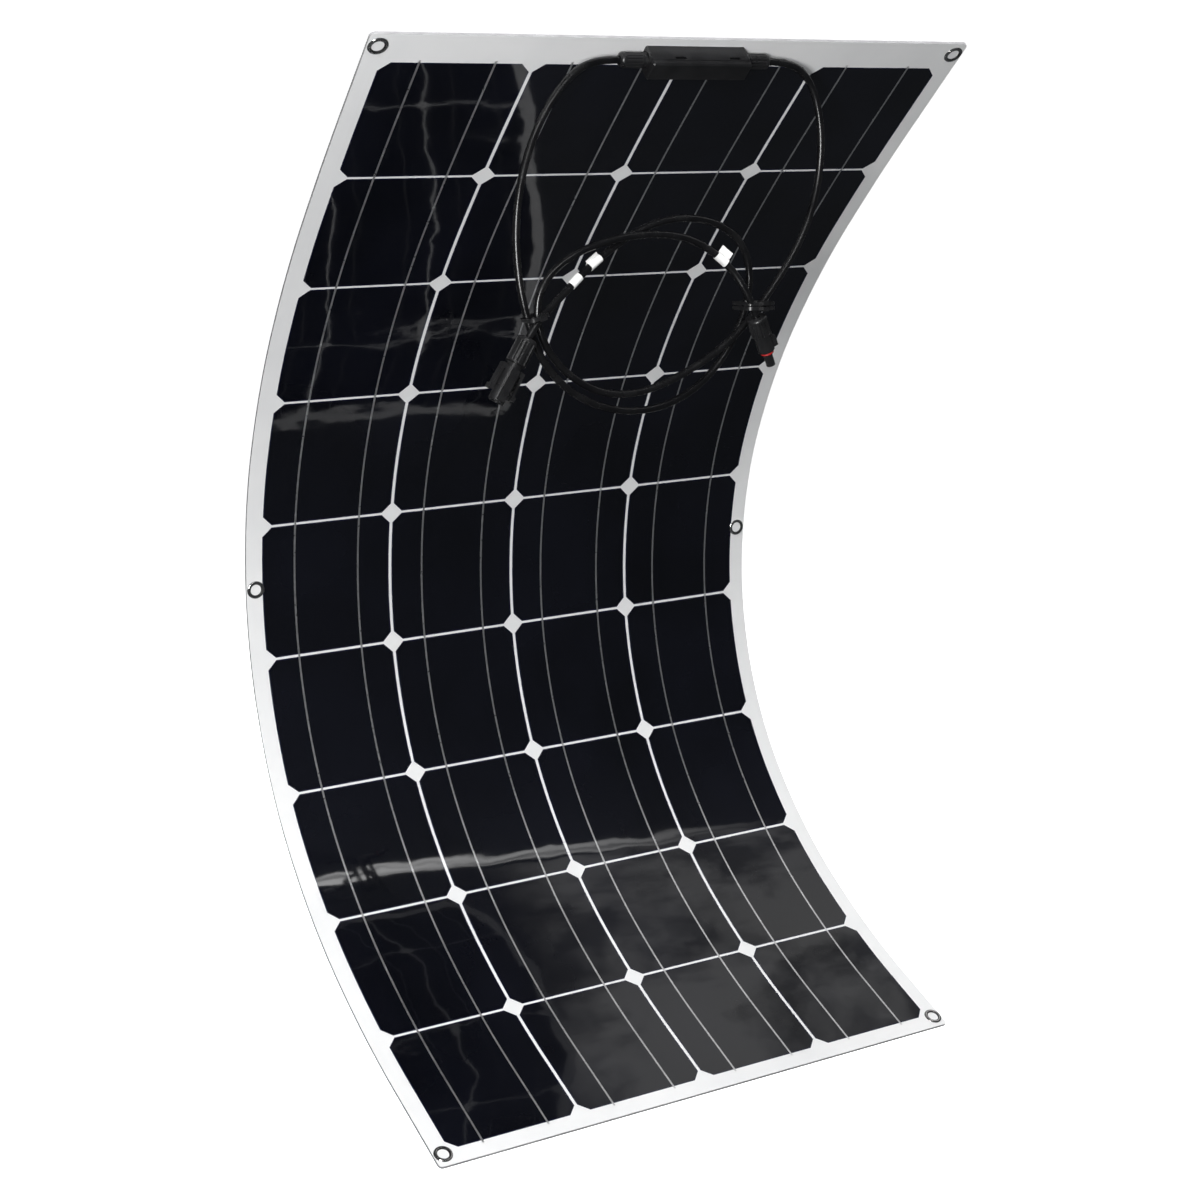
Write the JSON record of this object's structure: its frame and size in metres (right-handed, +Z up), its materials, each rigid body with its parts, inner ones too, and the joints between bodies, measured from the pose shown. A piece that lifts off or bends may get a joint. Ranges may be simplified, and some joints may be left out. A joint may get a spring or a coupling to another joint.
{
  "type": "flexible solar panel",
  "caption": "Flexible solar sheet of square dark cells on a white backing with edge eyelets, a small junction box and two tied black leads ending in plugs.",
  "frame": {"origin": "middle of the sheet's top edge, at mid-thickness, where it is held up", "axes": "+Z up, +X to the right along the lines the sheet bends about, +Y away from the viewer; the cell side faces -Y"},
  "size_m": [0.5834, 0.3776, 0.9013],
  "materials": {
    "backsheet": "satin white polymer sheet",
    "silicon": "near-black silicon under clear film",
    "ribbon": "tinned flat conductor",
    "front_film": "clear front film, satin gloss",
    "eyelet_metal": "bright stamped metal",
    "box_plastic": "fine-textured black plastic",
    "gland_plastic": "black nylon",
    "seal_rubber": "black rubber",
    "brass": "plated brass",
    "diode": "black moulded body",
    "lead_jacket": "satin black cable jacket",
    "tie_plastic": "black nylon strap",
    "label_paper": "white film label",
    "plug_plastic": "black nylon",
    "contact_metal": "tinned copper",
    "ring_rubber": "red silicone rubber"
  },
  "bodies": {
    "row_1": {"board_1": "backsheet", "cells_1": "silicon", "ribbons_1": "ribbon", "film_1": "front_film", "eyelets_top": "eyelet_metal", "box_base": "box_plastic", "box_gasket": "seal_rubber", "terminals": "brass", "diodes": "diode", "gland_bodies": "gland_plastic", "gland_seals": "seal_rubber", "lead_entries": "lead_jacket", "lead_left": "lead_jacket", "lead_right": "lead_jacket", "cable_ties": "tie_plastic", "lead_labels": "label_paper", "plug_body_left": "plug_plastic", "plug_contact_left": "contact_metal", "plug_body_right": "plug_plastic", "plug_contact_right": "contact_metal", "plug_ring_right": "ring_rubber"},
    "box_lid": {"box_lid": "box_plastic"},
    "gland_nut_left": {"gland_nut_left": "gland_plastic"},
    "gland_nut_right": {"gland_nut_right": "gland_plastic"},
    "plug_nut_left": {"plug_nut_left": "plug_plastic"},
    "plug_nut_right": {"plug_nut_right": "plug_plastic"},
    "row_2": {"board_2": "backsheet", "cells_2": "silicon", "ribbons_2": "ribbon", "film_2": "front_film"},
    "row_3": {"board_3": "backsheet", "cells_3": "silicon", "ribbons_3": "ribbon", "film_3": "front_film"},
    "row_4": {"board_4": "backsheet", "cells_4": "silicon", "ribbons_4": "ribbon", "film_4": "front_film"},
    "row_5": {"board_5": "backsheet", "cells_5": "silicon", "ribbons_5": "ribbon", "film_5": "front_film", "eyelets_middle": "eyelet_metal"},
    "row_6": {"board_6": "backsheet", "cells_6": "silicon", "ribbons_6": "ribbon", "film_6": "front_film"},
    "row_7": {"board_7": "backsheet", "cells_7": "silicon", "ribbons_7": "ribbon", "film_7": "front_film"},
    "row_8": {"board_8": "backsheet", "cells_8": "silicon", "ribbons_8": "ribbon", "film_8": "front_film"},
    "row_9": {"board_9": "backsheet", "cells_9": "silicon", "ribbons_9": "ribbon", "film_9": "front_film", "eyelets_bottom": "eyelet_metal"}
  },
  "joints": [
    {"name": "flex_1", "type": "hinge", "parent": "row_1", "child": "row_2", "pos_m": [0.00587, 0.11835, -0.0993], "axis": [1, 0, 0], "range_deg": [-0.8, 3]},
    {"name": "flex_2", "type": "hinge", "parent": "row_2", "child": "row_3", "pos_m": [0.01069, 0.21131, -0.18599], "axis": [1, 0, 0], "range_deg": [-2.23, 8.32]},
    {"name": "flex_3", "type": "hinge", "parent": "row_3", "child": "row_4", "pos_m": [0.01552, 0.29078, -0.28519], "axis": [1, 0, 0], "range_deg": [-3.41, 12.72]},
    {"name": "flex_4", "type": "hinge", "parent": "row_4", "child": "row_5", "pos_m": [0.02035, 0.3465, -0.39943], "axis": [1, 0, 0], "range_deg": [-5.19, 19.42]},
    {"name": "flex_5", "type": "hinge", "parent": "row_5", "child": "row_6", "pos_m": [0.02518, 0.36111, -0.5257], "axis": [1, 0, 0], "range_deg": [-5.78, 21.62]},
    {"name": "flex_6", "type": "hinge", "parent": "row_6", "child": "row_7", "pos_m": [0.03001, 0.32821, -0.64848], "axis": [1, 0, 0], "range_deg": [-5.81, 21.72]},
    {"name": "flex_7", "type": "hinge", "parent": "row_7", "child": "row_8", "pos_m": [0.03483, 0.25225, -0.75039], "axis": [1, 0, 0], "range_deg": [-4.42, 16.52]},
    {"name": "flex_8", "type": "hinge", "parent": "row_8", "child": "row_9", "pos_m": [0.03966, 0.15047, -0.82653], "axis": [1, 0, 0], "range_deg": [-2.9, 10.82]},
    {"name": "lid_pull", "type": "slide", "parent": "row_1", "child": "box_lid", "axis": [0, -0.6428, -0.766], "range_m": [0, 0.03]},
    {"name": "gland_turn_left", "type": "hinge", "parent": "row_1", "child": "gland_nut_left", "pos_m": [-0.04955, 0.00895, -0.01756], "axis": [-0.9993, 0.0291, -0.0244], "range_deg": [0, 1080]},
    {"name": "gland_turn_right", "type": "hinge", "parent": "row_1", "child": "gland_nut_right", "pos_m": [0.06367, 0.00566, -0.0148], "axis": [0.9993, -0.0291, 0.0244], "range_deg": [0, 1080]},
    {"name": "plug_turn_left", "type": "hinge", "parent": "row_1", "child": "plug_nut_left", "pos_m": [-0.14706, -0.001, -0.22824], "axis": [-0.5201, 0, -0.8541], "range_deg": [0, 1080]},
    {"name": "plug_turn_right", "type": "hinge", "parent": "row_1", "child": "plug_nut_right", "pos_m": [0.06023, -0.00508, -0.21621], "axis": [0.4519, 0.17, -0.8757], "range_deg": [0, 1080]}
  ],
  "couplings": [
    {"joint": "flex_2", "follows": "flex_1", "ratio": 2.7667},
    {"joint": "flex_3", "follows": "flex_1", "ratio": 4.2333},
    {"joint": "flex_4", "follows": "flex_1", "ratio": 6.4667},
    {"joint": "flex_5", "follows": "flex_1", "ratio": 7.2},
    {"joint": "flex_6", "follows": "flex_1", "ratio": 7.2333},
    {"joint": "flex_7", "follows": "flex_1", "ratio": 5.5},
    {"joint": "flex_8", "follows": "flex_1", "ratio": 3.6}
  ]
}
